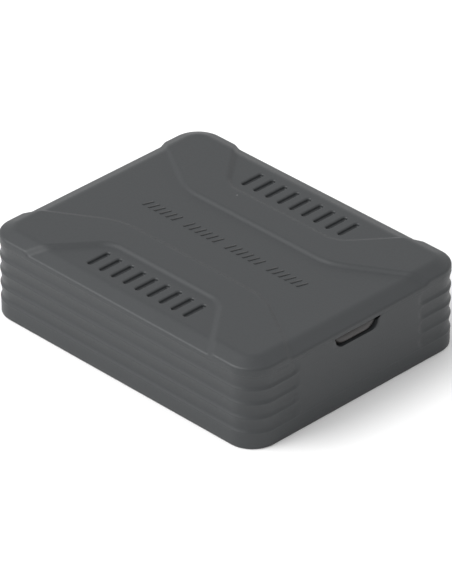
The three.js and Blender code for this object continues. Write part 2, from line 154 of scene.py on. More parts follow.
def finish_piece(made, material, body, replaced=(), sharp=35):
    made.data.materials.clear()
    made.data.materials.append(material)
    made.data.polygons.foreach_set("use_smooth", [True] * len(made.data.polygons))
    made.data.set_sharp_from_angle(angle=math.radians(sharp))
    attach(made, body)
    if replaced:
        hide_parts(*replaced)
    return made


def loose_object(name, bm):
    mesh = bpy.data.meshes.new(name)
    bm.to_mesh(mesh)
    bm.free()
    made = bpy.data.objects.new(name, mesh)
    scene.collection.objects.link(made)
    return made


def boolean(body, tool_bm, operation):
    """Joins or cuts a loose object (millimetres) with a closed bmesh, and keeps the result as its mesh."""
    tool = loose_object("tool", tool_bm)
    change = body.modifiers.new("boolean", "BOOLEAN")
    change.operation = operation
    change.solver = "MANIFOLD"
    change.object = tool
    result = bpy.data.meshes.new_from_object(body.evaluated_get(bpy.context.evaluated_depsgraph_get()))
    body.modifiers.clear()
    body.data = result
    bpy.data.objects.remove(tool)


def face_outward(bm):
    """Makes every face of a closed bmesh point out of the solid."""
    bmesh.ops.recalc_face_normals(bm, faces=bm.faces)
    if bm.calc_volume(signed=True) < 0:
        bmesh.ops.reverse_faces(bm, faces=bm.faces)


def taken(obj):
    """Takes a loose object's mesh back into a bmesh and removes the object."""
    bm = bmesh.new()
    bm.from_mesh(obj.data)
    bpy.data.objects.remove(obj)
    return bm


def extrude_rim(bm, edges):
    """Extrudes an open ring of edges, and returns the new vertices and the new open ring."""
    made = bmesh.ops.extrude_edge_only(bm, edges=edges)["geom"]
    verts = [g for g in made if isinstance(g, bmesh.types.BMVert)]
    return verts, [g for g in made if isinstance(g, bmesh.types.BMEdge) and g.is_boundary]


def add_rod(bm, x, y, low, high, radius, sides=48, top_radius=None, soften=0.0):
    end = radius if top_radius is None else top_radius
    made = bmesh.ops.create_cone(bm, cap_ends=True, segments=sides, radius1=radius, radius2=end,
                                 depth=high - low, matrix=Matrix.Translation((x, y, (low + high) / 2)))
    if soften:
        edges = {e for v in made["verts"] for e in v.link_edges}
        rims = [e for e in edges if abs(e.verts[0].co.z - e.verts[1].co.z) < 1e-6]
        bmesh.ops.bevel(bm, geom=rims, offset=soften, segments=3, profile=0.5, affect="EDGES",
                        material=-1)
    return made["verts"]


def add_block(bm, x, y, low, size, soften=0.0, segments=2, lean=0.0):
    """A block on the height `low`; lean shears it in plan, along X with Y."""
    slant = Matrix(((1, lean, 0, 0), (0, 1, 0, 0), (0, 0, 1, 0), (0, 0, 0, 1)))
    turn = Matrix.Translation((x, y, low + size[2] / 2)) @ slant @ Matrix.Diagonal((*size, 1))
    made = bmesh.ops.create_cube(bm, size=1, matrix=turn)
    if soften:
        edges = {e for v in made["verts"] for e in v.link_edges}
        bmesh.ops.bevel(bm, geom=list(edges), offset=soften, segments=segments, profile=0.5,
                        affect="EDGES", material=-1)
    return made["verts"]


# ---- the case's outline ------------------------------------------------------------------------
def side_stations(half, fine_from, fine_to, coarse, fine):
    """Places along a straight side from -half to half, close together between two distances."""
    marks = [0.0]
    while marks[-1] < half - 1e-6:
        step = fine if fine_from - 1e-6 <= marks[-1] < fine_to else coarse
        limit = fine_from if marks[-1] < fine_from - 1e-6 else half
        marks.append(min(marks[-1] + step, limit))
    return [-m for m in reversed(marks[1:])] + marks


def outline_stations():
    """The rounded rectangle as (core point, outward direction) pairs, anticlockwise from the +X side."""
    core_x, core_y = HALF_X - CORNER_R, HALF_Y - CORNER_R
    ends = side_stations(core_y, RIB["end"] - 1.5, RIB["end"] + 3.5, 2.5, 0.25)
    longs = side_stations(core_x, core_x, core_x, 3.0, 3.0)
    arc = [math.pi / 2 * k / 14 for k in range(1, 14)]
    found = []
    for quarter, (stops, along_y) in enumerate(((ends, True), (longs, False), (ends, True), (longs, False))):
        out = Vector((math.cos(quarter * math.pi / 2), math.sin(quarter * math.pi / 2)))
        along = Vector((-out.y, out.x))
        depth, half = (core_x, core_y) if along_y else (core_y, core_x)
        found += [(out * depth + along * s, out) for s in stops]
        corner = out * depth + along * half
        found += [(corner, Matrix.Rotation(a, 2) @ out) for a in arc]
    return found


STATIONS = outline_stations()


def start_outline(bm, inset, z, cap):
    """A closed ring on the outline; each vertex remembers its station."""
    tag = bm.verts.layers.int.new("station")
    ring = bmesh.ops.create_circle(bm, cap_ends=cap, radius=1, segments=len(STATIONS))["verts"]
    ring.sort(key=lambda v: math.atan2(v.co.y, v.co.x) % math.tau)
    angles = [math.atan2((c + o).y, (c + o).x) % math.tau for c, o in STATIONS]
    order = sorted(range(len(STATIONS)), key=lambda k: angles[k])
    for vert, station in zip(ring, order):
        vert[tag] = station
        core, out = STATIONS[station]
        vert.co = (*(core + out * (CORNER_R - inset)), z)
    return tag, [e for e in bm.edges if e.is_boundary or e.is_wire or cap]


def next_ring(bm, edges, tag, inset, height):
    """Extrudes the open ring; inset and height are numbers or functions of the station."""
    verts, rim = extrude_rim(bm, edges)
    for vert in verts:
        core, out = STATIONS[vert[tag]]
        far = inset(core, out) if callable(inset) else inset
        z = height(core, out) if callable(height) else height
        vert.co = (*(core + out * (CORNER_R - far)), z)
    return rim


# ---- base shell --------------------------------------------------------------------------------
def scallop(u):
    """How deep the wall is between two crests: 0 at both, 1 at the root. u runs down to the next crest."""
    root = 1 - RIB["ledge"] / RIB["pitch"]
    if u < root:
        return 1 - (1 - u / root) ** 1.7
    return 1 - ((u - root) / (1 - root)) ** 1.5


def rib_inset(z):
    """The wall's inset at a height, and how far down its scallop that is."""
    below_crest = (RIB["lowest"] + RIB["pitch"] * RIB["count"] - z) % RIB["pitch"]
    u = below_crest / RIB["pitch"]
    return RIB["depth"] * scallop(u), u


def wall_inset(z):
    """Inset of the wall at a height, for each station: the ribs fade into a plain panel on the short ends."""
    deep, u = rib_inset(z)

    def at(core, out):
        if abs(out.x) < 0.999:
            return deep
        bow = 1 - math.sqrt(max(0, 1 - (2 * u - 1) ** 2))
        start = RIB["end"] + bow * RIB["end_length"] * 0.8
        return deep * smooth((abs(core.y) - start) / RIB["end_length"])
    return at


def base_outer_levels():
    """(height, inset) from the underside up to the seam."""
    levels = [(0.0, 0.55), (0.05, 0.36), (0.16, 0.2), (0.4, 0.12), (2.4, 0.1), (4.2, 0.08), (4.7, 0.07)]
    crest_z = RIB["lowest"]
    root = 1 - RIB["ledge"] / RIB["pitch"]
    steps = [0.985, 0.95, 0.9, 0.84, root + 0.03, root, root - 0.05,
             0.6, 0.48, 0.36, 0.26, 0.18, 0.11, 0.06, 0.025]
    for _ in range(RIB["count"]):
        levels.append((crest_z, 0.02))
        for u in steps:
            z = crest_z + (1 - u) * RIB["pitch"]
            if z < RIM_Z - 0.15:
                levels.append((z, wall_inset(z)))
        crest_z += RIB["pitch"]
    deep = wall_inset(RIM_Z - 0.1)
    levels.append((RIM_Z - 0.1, deep))
    levels.append((RIM_Z, lambda core, out: deep(core, out) + 0.06))
    return levels


def make_base(material):
    bm = bmesh.new()
    levels = base_outer_levels()
    tag, edges = start_outline(bm, levels[0][1], levels[0][0], cap=True)
    for z, inset in levels[1:]:
        edges = next_ring(bm, edges, tag, inset, z)
    rim = [(RIM_Z - 1.0, 0.8), (RIM_Z - 1.0, 1.7), (SEAM_Z - 0.1, 1.7), (SEAM_Z, 1.8), (SEAM_Z, WALL - 0.25),
           (SEAM_Z - 0.25, WALL), (FLOOR_Z + 0.5, WALL), (FLOOR_Z, WALL + 0.5)]
    for z, inset in rim:
        edges = next_ring(bm, edges, tag, inset, z)
    bmesh.ops.edgeloop_fill(bm, edges=edges)
    face_outward(bm)
    body = loose_object("base_shell_body", bm)

    towers = bmesh.new()
    for sx, sy in ((1, 1), (-1, 1), (-1, -1), (1, -1)):
        add_rod(towers, sx * POST.x, sy * POST.y, 1, 19, 3.4, soften=0.25)
        add_rod(towers, sx * POST.x, sy * POST.y, 1, 8, 4.4, soften=0.3)
        add_rod(towers, sx * STANDOFF.x, sy * STANDOFF.y, 1, 11.9, 2.8, soften=0.2)
        for turn in range(4):
            fin = bmesh.ops.create_cube(towers, size=1, matrix=Matrix.Diagonal((9.4, 1, 6, 1)))["verts"]
            bmesh.ops.rotate(towers, verts=fin, matrix=Matrix.Rotation(math.radians(45 * turn), 3, "Z"))
            bmesh.ops.translate(towers, verts=fin, vec=(sx * STANDOFF.x, sy * STANDOFF.y, 4.5))
    boolean(body, towers, "UNION")

    holes = bmesh.new()
    for sx, sy in ((1, 1), (-1, 1), (-1, -1), (1, -1)):
        add_rod(holes, sx * POST.x, sy * POST.y, 1, 25, 1.7, sides=32)
        add_rod(holes, sx * POST.x, sy * POST.y, -0.35, 4.8, 3.0)
        add_rod(holes, sx * POST.x, sy * POST.y, -0.3, 0.3, 3.6, top_radius=3.0)
        add_rod(holes, sx * STANDOFF.x, sy * STANDOFF.y, 7, 14, 1.4, sides=32)
    boolean(body, holes, "DIFFERENCE")
    boolean(body, cable_slot_tool(), "DIFFERENCE")
    return piece("case_base", taken(body), material, "base", ["base_shell"], sharp=50)


def slot_outline(bm, x, inset, top):
    """The cable slot's outline as a flat face across X: slanted ends and round lower corners."""
    half_top, half_low = SLOT["top"] / 2 - inset, SLOT["bottom"] / 2 - inset
    deep = SLOT["depth"] - inset
    corners = [(-half_top, top), (-half_top, 0.0), (-half_low, -deep), (half_low, -deep), (half_top, 0.0),
               (half_top, top)]
    if top == 0:
        corners = corners[1:-1]
    verts = [bm.verts.new((x, SLOT["y"] + y, SEAM_Z + z)) for y, z in corners]
    bm.faces.new(verts)
    low = [v for v in verts if v.co.z < SEAM_Z - deep + 0.01]
    bmesh.ops.bevel(bm, geom=low, offset=SLOT["corner"] - inset / 2, segments=8, profile=0.5,
                    affect="VERTICES", material=-1)


def slot_run(bm, stops):
    """Runs a slot outline along X; each stop is how far it goes on and how much the outline grows."""
    centre = Vector((0, SLOT["y"], SEAM_Z - SLOT["depth"] / 2))
    edges = bm.edges[:]
    for far, grow in stops:
        verts, edges = extrude_rim(bm, edges)
        bmesh.ops.translate(bm, verts=verts, vec=(far, 0, 0))
        bmesh.ops.scale(bm, verts=verts, vec=(1, grow, grow), space=Matrix.Translation(-centre))
    bmesh.ops.edgeloop_fill(bm, edges=edges)
    face_outward(bm)


def cable_slot_tool():
    """The cutter for the cable slot, flared a little at the outer face."""
    bm = bmesh.new()
    slot_outline(bm, HALF_X - WALL - 1.2, 0.0, 1.0)
    slot_run(bm, [(WALL + 0.95, 1.0), (0.15, 1.01), (0.12, 1.03), (1.0, 1.0)])
    return bm


def make_slot_plug(material):
    """Rubber plug in the cable slot: a crowned nose in the wall and a flange behind it."""
    low, high = (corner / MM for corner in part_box("slot_plug"))
    bm = bmesh.new()
    slot_outline(bm, low.x + 0.4, 0.35, 0)
    reach = high.x - low.x - 0.4
    slot_run(bm, [(reach - 1.3, 1.0), (0.5, 0.96), (0.35, 0.87), (0.24, 0.73), (0.14, 0.52), (0.07, 0.22)])
    flange = (1.2, high.y - low.y - 1.0, high.z - low.z - 0.25)
    add_block(bm, low.x + 0.6, SLOT["y"], low.z, flange, soften=0.25)
    return piece("slot_plug_rubber", bm, material, "base", ["slot_plug"], sharp=60)


# ---- cover -------------------------------------------------------------------------------------
CENTRE_HOLLOW = dict(bend_x=27.0, bend_y=11.6, slope=11.2 / 18.4, round=3.0)
VENT_HOLLOW = dict(bend_x=20.3, bend_y=21.3, slope=13.6 / 11, round=3.0)


def outside_centre_hollow(x, y):
    """Distance from the edge of the long low area that runs the whole length; above 0 on the bands."""
    h = CENTRE_HOLLOW
    edge = soft_max(h["bend_y"], h["bend_y"] + (abs(x) - h["bend_x"]) * h["slope"], h["round"])
    lean = h["slope"] * smooth((abs(x) - h["bend_x"]) / 3 + 0.5)
    return (abs(y) - edge) / math.hypot(1, lean)


def outside_vent_hollow(x, y):
    """Distance from the edge of the two low areas with the vent grooves; above 0 on the bands."""
    h = VENT_HOLLOW
    inner = h["bend_y"] - abs(y)
    past_flank = abs(x) - h["bend_x"] - (abs(y) - h["bend_y"]) / h["slope"]
    flank = past_flank * h["slope"] / math.hypot(1, h["slope"])
    return soft_max(inner, flank, h["round"])


def band_share(x, y):
    """0 in the low areas, 1 on the raised bands, with a nearly flat slope between."""
    share = 1.0
    for distance in (outside_centre_hollow(x, y), outside_vent_hollow(x, y)):
        ramp = distance / RELIEF_WALL + 0.5
        share *= soft_max(soft_min(ramp, 1, 0.3), 0, 0.3) if -0.3 < ramp < 1.3 else clamp01(ramp)
    return share


def cover_height(x, y, inset):
    rise = RELIEF_RISE * band_share(x, y)
    incline = (TOP_Z - LIP_Z) / SLOPE_INSET
    slope = LIP_Z + rise * math.hypot(1, incline) + incline * inset
    return soft_min(TOP_Z + rise, slope, 0.35) - rim_roll(inset, incline)


def rim_roll(inset, incline):
    """How far the rounded edge above the lip drops below the line of the slope."""
    level = math.atan(incline)
    if inset >= EDGE_ROUND * (1 - math.sin(level)):
        return 0.0
    centre = EDGE_ROUND * (incline * (1 - math.sin(level)) - math.cos(level))
    return incline * inset - centre - math.sqrt(EDGE_ROUND ** 2 - (EDGE_ROUND - inset) ** 2)


def grid_marks(half):
    """Grid lines from one side of the cover to the other, close together at the rim."""
    marks = [0, 0.015, 0.06, 0.13, 0.22, 0.33, 0.45, 0.58]
    while marks[-1] + 0.37 < half:
        marks.append(marks[-1] + 0.36)
    return [m - half for m in marks] + [0.0] + [half - m for m in reversed(marks)]


def cover_plan(u, v):
    """Bends a rectangle's grid so that its outer lines follow the case's rounded corners."""
    inset = min(HALF_X - abs(u), HALF_Y - abs(v))
    a, b = HALF_X - inset, HALF_Y - inset
    r = max(CORNER_R - inset, 0)
    over_x, over_y = abs(u) - (a - r), abs(v) - (b - r)
    if r <= 0 or over_x <= 0 or over_y <= 0:
        return u, v, inset
    turn = math.pi / 4 * (over_y / r if over_x >= over_y else 2 - over_x / r)
    x, y = a - r + r * math.cos(turn), b - r + r * math.sin(turn)
    return math.copysign(x, u), math.copysign(y, v), inset


def make_cover(material):
    bm = bmesh.new()
    columns, rows = grid_marks(HALF_X), grid_marks(HALF_Y)
    count_x, count_y = len(columns) - 1, len(rows) - 1
    bmesh.ops.create_grid(bm, x_segments=count_x, y_segments=count_y, size=1)
    for vert in bm.verts:
        i = round((vert.co.x + 1) / 2 * count_x)
        j = round((vert.co.y + 1) / 2 * count_y)
        x, y, inset = cover_plan(columns[i], rows[j])
        vert.co = (x, y, cover_height(x, y, inset))
    edges = [e for e in bm.edges if e.is_boundary]
    seam = COVER_LOW_SEAM
    for drop, inset in ((0.7, 0.0), (0.05, 0.0), (0.0, 0.05), (0.0, WALL - 0.2), (-0.2, WALL)):
        edges = cover_ring(bm, edges, inset, None if drop == 0.7 else seam + (drop if drop > 0 else -drop))
    edges = cover_ring(bm, edges, WALL, CEILING_Z)
    bmesh.ops.edgeloop_fill(bm, edges=edges)
    face_outward(bm)
    body = loose_object("cover_body", bm)
    boolean(body, cover_inner_parts(), "UNION")
    boolean(body, cover_cuts(), "DIFFERENCE")
    return piece("case_cover", taken(body), material, "cover", ["top_cover"], sharp=50)


def cover_ring(bm, edges, inset, z):
    """Extrudes the cover's open edge to an inset of the outline and a height, or half way down the lip."""
    verts, rim = extrude_rim(bm, edges)
    core_x, core_y = HALF_X - CORNER_R, HALF_Y - CORNER_R
    for vert in verts:
        core = Vector((min(max(vert.co.x, -core_x), core_x), min(max(vert.co.y, -core_y), core_y)))
        out = (vert.co.xy - core).normalized()
        x, y = core + out * (CORNER_R - inset)
        vert.co = (x, y, (vert.co.z + COVER_LOW_SEAM) / 2 if z is None else z)
    return rim


def cover_inner_parts():
    """Locating tongue, screw bosses and the rib that presses the tamper switch."""
    bm = bmesh.new()
    tag, edges = start_outline(bm, WALL + 0.3, CEILING_Z + 0.3, cap=False)
    for inset, z in ((WALL + 0.3, 20.3), (WALL + 0.5, 20.0), (WALL + 1.3, 20.0), (WALL + 1.5, 20.3),
                     (WALL + 1.5, CEILING_Z + 0.3)):
        edges = next_ring(bm, edges, tag, inset, z)
    bmesh.ops.bridge_loops(bm, edges=[e for e in bm.edges if e.is_boundary])
    face_outward(bm)
    ring = loose_object("tongue", bm)
    gap = bmesh.new()
    add_block(gap, HALF_X - 4, SLOT["y"], 10, (8, SLOT["top"] + 2, COVER_LOW_SEAM - 10))
    boolean(ring, gap, "DIFFERENCE")
    bodies = bmesh.new()
    for sx, sy in ((1, 1), (-1, 1), (-1, -1), (1, -1)):
        add_rod(bodies, sx * POST.x, sy * POST.y, 19.3, CEILING_Z + 0.3, 3.4, soften=0.2)
    add_block(bodies, 0, -30.5, 20.5, (3, 3, CEILING_Z - 20.2), soften=0.2)
    holder = loose_object("bosses", bodies)
    boolean(holder, taken(ring), "UNION")
    return taken(holder)


def cover_cuts():
    """Pilot holes in the bosses and the blind vent grooves with softened mouths."""
    bm = bmesh.new()
    for sx, sy in ((1, 1), (-1, 1), (-1, -1), (1, -1)):
        add_rod(bm, sx * POST.x, sy * POST.y, 19, 22.6, 1.7, sides=32)
    for k in range(VENT["count"]):
        x = (k - (VENT["count"] - 1) / 2) * VENT["pitch"]
        for side in (1, -1):
            add_groove(bm, x, side * VENT["y"])
    face_outward(bm)
    return bm


def add_groove(bm, x, y):
    """A round-ended groove cutter: narrow at the floor, flared where it meets the top face."""
    half_w, half_l = VENT["width"] / 2, VENT["length"] / 2
    deep, fillet = VENT["depth"], VENT["fillet"]
    turns = [math.pi / 2 * k / 6 for k in range(7)]
    profile = [(-fillet - 0.3, -deep), (-fillet - 0.1, 0.12 - deep), (-fillet - 0.04, 0.3 - deep)]
    profile += [(fillet * (-math.cos(t)), fillet * (math.sin(t) - 1)) for t in turns]
    profile += [(0.1, 0.02), (0.5, 0.3)]
    verts = bmesh.ops.create_circle(bm, cap_ends=True, radius=1, segments=24)["verts"]
    edges = list({e for v in verts for e in v.link_edges})
    rings = []
    for k, (grow, z) in enumerate(profile):
        if k:
            verts, edges = extrude_rim(bm, edges)
        for v in verts:
            side = v.co.xy.normalized() * (half_w + grow)
            v.co = (side.x, side.y, TOP_Z + z)
        rings += verts
    bmesh.ops.edgeloop_fill(bm, edges=edges)
    reach = half_l - half_w
    for v in rings:
        v.co += Vector((x, y + math.copysign(reach, v.co.y), 0))


# ---- ticks in place of the engraved lettering, dark as painted shade ------------------------------
def make_ticks(material):
    """A plain row of slanted ticks along the middle, in four equal groups, near black as painted shade of
    engraved lettering.
    """
    bm = bmesh.new()
    groups, per_group, pitch, tall, wide = 4, 6, 2.2, 3.2, 0.7
    gap = 2.4
    run = groups * per_group * pitch + (groups - 1) * gap
    for k in range(groups * per_group):
        x = -run / 2 + pitch / 2 + k * pitch + (k // per_group) * gap
        add_block(bm, x, 0, TOP_Z - 0.25, (wide, tall, 0.37), soften=0.08, lean=0.3)
    return piece("marking_ticks", bm, material, "cover")


# ---- node groups -----------------------------------------------------------------------------------
def new_group(name, inputs, outputs):
    group = bpy.data.node_groups.new(name, "ShaderNodeTree")
    for label, kind, value in inputs:
        item = group.interface.new_socket(label, in_out="INPUT", socket_type=kind)
        item.default_value = value
    for label, kind in outputs:
        group.interface.new_socket(label, in_out="OUTPUT", socket_type=kind)
    enter = group.nodes.new("NodeGroupInput")
    leave = group.nodes.new("NodeGroupOutput")
    return group, enter, leave


def node(tree, kind, **settings):
    made = tree.nodes.new(kind)
    for key, value in settings.items():
        if key.startswith("in_"):
            label = key[3:]
            socket = int(label) if label.isdigit() else label.replace("_", " ")
            made.inputs[socket].default_value = value
        else:
            setattr(made, key, value)
    return made


FLOAT = "NodeSocketFloat"


def moulded_grain():
    """Spark-eroded mould texture: a fine pebble and a slower unevenness, as a height and as a shade mask."""
    group, enter, leave = new_group("moulded_grain", [("Grain Size", FLOAT, 1700.0)],
                                    [("Height", FLOAT), ("Shade", FLOAT)])
    place = node(group, "ShaderNodeTexCoord")
    fine = node(group, "ShaderNodeTexNoise", in_Detail=2.0, in_Roughness=0.6)
    broad = node(group, "ShaderNodeTexNoise", in_Scale=55.0, in_Detail=3.0)
    both = node(group, "ShaderNodeMath", operation="MULTIPLY_ADD")
    both.inputs[1].default_value = 0.35
    link = group.links.new
    link(place.outputs["Object"], fine.inputs["Vector"])
    link(place.outputs["Object"], broad.inputs["Vector"])
    link(enter.outputs["Grain Size"], fine.inputs["Scale"])
    link(broad.outputs["Fac"], both.inputs[0])
    link(fine.outputs["Fac"], both.inputs[2])
    link(fine.outputs["Fac"], leave.inputs["Height"])
    link(both.outputs[0], leave.inputs["Shade"])
    return group


def dust_specks():
    """A few tiny pale specks of dust: a mask that is 1 on a speck."""
    group, enter, leave = new_group("dust_specks", [("Spacing", FLOAT, 140.0), ("Share", FLOAT, 0.2),
                                                    ("Size", FLOAT, 0.02)], [("Mask", FLOAT)])
    place = node(group, "ShaderNodeTexCoord")
    cells = node(group, "ShaderNodeTexVoronoi")
    near = node(group, "ShaderNodeMath", operation="LESS_THAN")
    split = node(group, "ShaderNodeSeparateColor")
    kept = node(group, "ShaderNodeMath", operation="LESS_THAN")
    mask = node(group, "ShaderNodeMath", operation="MULTIPLY")
    link = group.links.new
    link(place.outputs["Object"], cells.inputs["Vector"])
    link(enter.outputs["Spacing"], cells.inputs["Scale"])
    link(cells.outputs["Distance"], near.inputs[0])
    link(enter.outputs["Size"], near.inputs[1])
    link(cells.outputs["Color"], split.inputs["Color"])
    link(split.outputs["Red"], kept.inputs[0])
    link(enter.outputs["Share"], kept.inputs[1])
    link(near.outputs[0], mask.inputs[0])
    link(kept.outputs[0], mask.inputs[1])
    link(mask.outputs[0], leave.inputs["Mask"])
    return group


GRAIN = moulded_grain()
DUST = dust_specks()


def new_material(name, **sockets):
    material = bpy.data.materials.new(name)
    material.use_nodes = True
    tree = material.node_tree
    shader = tree.nodes["Principled BSDF"]
    for key, value in sockets.items():
        shader.inputs[key.replace("_", " ")].default_value = value
    return material, tree, shader


def placed(tree, group, **values):
    made = tree.nodes.new("ShaderNodeGroup")
    made.node_tree = group
    for key, value in values.items():
        made.inputs[key.replace("_", " ")].default_value = value
    return made


def casing_plastic(name="casing_plastic", colour=(0.024, 0.0265, 0.0285), rough=(0.42, 0.56), bump=0.05):
    material, tree, shader = new_material(name)
    link = tree.links.new
    grain = placed(tree, GRAIN, Grain_Size=1700.0)
    dust = placed(tree, DUST)
    shade = node(tree, "ShaderNodeMapRange", in_1=0.3, in_2=0.9, in_3=0.88, in_4=1.14)
    tint = node(tree, "ShaderNodeMix", data_type="RGBA", blend_type="MULTIPLY")
    tint.inputs["Factor"].default_value = 1.0
    tint.inputs["A"].default_value = (*colour, 1)
    dusty = node(tree, "ShaderNodeMix", data_type="RGBA")
    dusty.inputs["B"].default_value = (0.3, 0.31, 0.31, 1)
    roughness = node(tree, "ShaderNodeMapRange", in_1=0.3, in_2=0.9, in_3=rough[0], in_4=rough[1])
    relief = node(tree, "ShaderNodeBump", in_Strength=bump, in_Distance=0.0004)
    link(grain.outputs["Shade"], shade.inputs[0])
    link(shade.outputs[0], tint.inputs["B"])
    link(tint.outputs["Result"], dusty.inputs["A"])
    link(dust.outputs["Mask"], dusty.inputs["Factor"])
    link(dusty.outputs["Result"], shader.inputs["Base Color"])
    link(grain.outputs["Shade"], roughness.inputs[0])
    link(roughness.outputs[0], shader.inputs["Roughness"])
    link(grain.outputs["Height"], relief.inputs["Height"])
    link(relief.outputs["Normal"], shader.inputs["Normal"])
    return material


def tick_painted_shade():
    # painted shade: the ticks' near-black colour stands for the shade inside engraved letters, not for ink
    material, _, shader = new_material("tick_painted_shade", Roughness=0.3)
    shader.inputs["Base Color"].default_value = (0.008, 0.009, 0.010, 1)
    return material


def moulded(name, colour, rough=0.45, bump=0.04, grain=1500.0, **sockets):
    """A moulded or coated surface in one colour, with a fine uneven skin."""
    material, tree, shader = new_material(name, **sockets)
    grained = placed(tree, GRAIN, Grain_Size=grain)
    shade = node(tree, "ShaderNodeMapRange", in_1=0.3, in_2=0.9, in_3=0.86, in_4=1.12)
    tint = node(tree, "ShaderNodeMix", data_type="RGBA", blend_type="MULTIPLY")
    tint.inputs["Factor"].default_value = 1.0
    tint.inputs["A"].default_value = (*colour, 1)
    roughness = node(tree, "ShaderNodeMapRange", in_1=0.3, in_2=0.9, in_3=rough - 0.07, in_4=rough + 0.07)
    relief = node(tree, "ShaderNodeBump", in_Strength=bump, in_Distance=0.0003)
    link = tree.links.new
    link(grained.outputs["Shade"], shade.inputs[0])
    link(shade.outputs[0], tint.inputs["B"])
    link(tint.outputs["Result"], shader.inputs["Base Color"])
    link(grained.outputs["Shade"], roughness.inputs[0])
    link(roughness.outputs[0], shader.inputs["Roughness"])
    link(grained.outputs["Height"], relief.inputs["Height"])
    link(relief.outputs["Normal"], shader.inputs["Normal"])
    return material


def drawn_metal(name, colour, rough=0.3, stretch=(1, 1, 14)):
    """Rolled or plated metal: fine drawing lines along one axis and slow tarnish."""
    material, tree, shader = new_material(name, Metallic=1.0)
    place = node(tree, "ShaderNodeTexCoord")
    turn = node(tree, "ShaderNodeMapping", in_Scale=stretch)
    lines = node(tree, "ShaderNodeTexNoise", in_Scale=700.0, in_Detail=2.0)
    tarnish = node(tree, "ShaderNodeTexNoise", in_Scale=160.0, in_Detail=3.0)
    shade = node(tree, "ShaderNodeMapRange", in_1=0.3, in_2=0.7, in_3=0.82, in_4=1.06)
    tint = node(tree, "ShaderNodeMix", data_type="RGBA", blend_type="MULTIPLY")
    tint.inputs["Factor"].default_value = 1.0
    tint.inputs["A"].default_value = (*colour, 1)
    roughness = node(tree, "ShaderNodeMapRange", in_1=0.3, in_2=0.7, in_3=rough - 0.08, in_4=rough + 0.1)
    relief = node(tree, "ShaderNodeBump", in_Strength=0.06, in_Distance=0.0002)
    link = tree.links.new
    link(place.outputs["Object"], turn.inputs["Vector"])
    link(turn.outputs["Vector"], lines.inputs["Vector"])
    link(place.outputs["Object"], tarnish.inputs["Vector"])
    link(tarnish.outputs["Fac"], shade.inputs[0])
    link(shade.outputs[0], tint.inputs["B"])
    link(tint.outputs["Result"], shader.inputs["Base Color"])
    link(lines.outputs["Fac"], roughness.inputs[0])
    link(roughness.outputs[0], shader.inputs["Roughness"])
    link(lines.outputs["Fac"], relief.inputs["Height"])
    link(relief.outputs["Normal"], shader.inputs["Normal"])
    return material


def solder_mask(name="board_laminate"):
    """Green mask over copper: straight tracks show through as a paler, slightly raised net."""
    material, tree, shader = new_material(name, Roughness=0.28)
    place = node(tree, "ShaderNodeTexCoord")
    tracks = node(tree, "ShaderNodeTexBrick", in_Scale=260.0, offset=0.37, squash=1.7)
    tracks.inputs["Color1"].default_value = (0.006, 0.050, 0.022, 1)
    tracks.inputs["Color2"].default_value = (0.008, 0.062, 0.028, 1)
    tracks.inputs["Mortar"].default_value = (0.022, 0.135, 0.058, 1)
    tracks.inputs["Mortar Size"].default_value = 0.035
    relief = node(tree, "ShaderNodeBump", in_Strength=0.25, in_Distance=0.00004)
    link = tree.links.new
    link(place.outputs["Object"], tracks.inputs["Vector"])
    link(tracks.outputs["Color"], shader.inputs["Base Color"])
    link(tracks.outputs["Fac"], relief.inputs["Height"])
    link(relief.outputs["Normal"], shader.inputs["Normal"])
    return material


# ---- finishes of the inner pieces, by the record's material slot ------------------------------------
FINISH = {
    "screw_steel": drawn_metal("screw_steel", (0.55, 0.55, 0.54), 0.28),
    "board_laminate": solder_mask(),
    "patch_ceramic": moulded("patch_ceramic", (0.50, 0.40, 0.27), 0.6, 0.08, 1100.0),
    "patch_silver": drawn_metal("patch_silver", (0.74, 0.73, 0.70), 0.4, (1, 1, 1)),
    "shield_tin": drawn_metal("shield_tin", (0.60, 0.61, 0.60), 0.34, (1, 12, 1)),
    "chip_epoxy": moulded("chip_epoxy", (0.018, 0.018, 0.020), 0.5, 0.1, 2200.0),
    "capacitor_can": drawn_metal("capacitor_can", (0.70, 0.70, 0.71), 0.26, (1, 1, 10)),
    "tantalum_case": moulded("tantalum_case", (0.52, 0.26, 0.04), 0.42),
    "fuse_case": moulded("fuse_case", (0.68, 0.66, 0.58), 0.4),
    "led_lens": moulded("led_lens", (0.72, 0.74, 0.52), 0.18, 0.0),
    "antenna_film": drawn_metal("antenna_film", (0.50, 0.24, 0.09), 0.32, (1, 1, 6)),
    "contact_gold": drawn_metal("contact_gold", (0.80, 0.58, 0.25), 0.25, (8, 1, 1)),
    "cable_black": moulded("cable_black", (0.014, 0.014, 0.015), 0.4, 0.03),
    "wire_red": moulded("wire_red", (0.42, 0.02, 0.012), 0.38, 0.03),
    "connector_black": moulded("connector_black", (0.020, 0.020, 0.021), 0.42, 0.06),
    "connector_white": moulded("connector_white", (0.72, 0.70, 0.63), 0.42, 0.05),
    "plunger_ivory": moulded("plunger_ivory", (0.70, 0.64, 0.48), 0.36, 0.03),
    "card_plastic": moulded("card_plastic", (0.70, 0.73, 0.76), 0.4, 0.02),
    "pack_wrap": drawn_metal("pack_wrap", (0.42, 0.44, 0.47), 0.36, (10, 1, 1)),
    "foam_tape": moulded("foam_tape", (0.74, 0.74, 0.68), 0.9, 0.5, 900.0),
    "plug_rubber": moulded("plug_rubber", (0.018, 0.016, 0.0155), 0.36, 0.05, 1300.0),
}
SILK = moulded("board_print", (0.72, 0.73, 0.70), 0.6, 0.02)
SOLDER = drawn_metal("solder", (0.66, 0.67, 0.68), 0.3, (1, 1, 1))
BODY_OF = {name: body for body, names in frame["record"]["behaviour"]["bodies"].items() for name in names}
SLOT_OF = {row["node"]: row["material_slot"] for row in frame["record"]["subparts"]}


def node_box(name):
    low, high = (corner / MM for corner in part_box(name))
    return low, high, (low + high) / 2


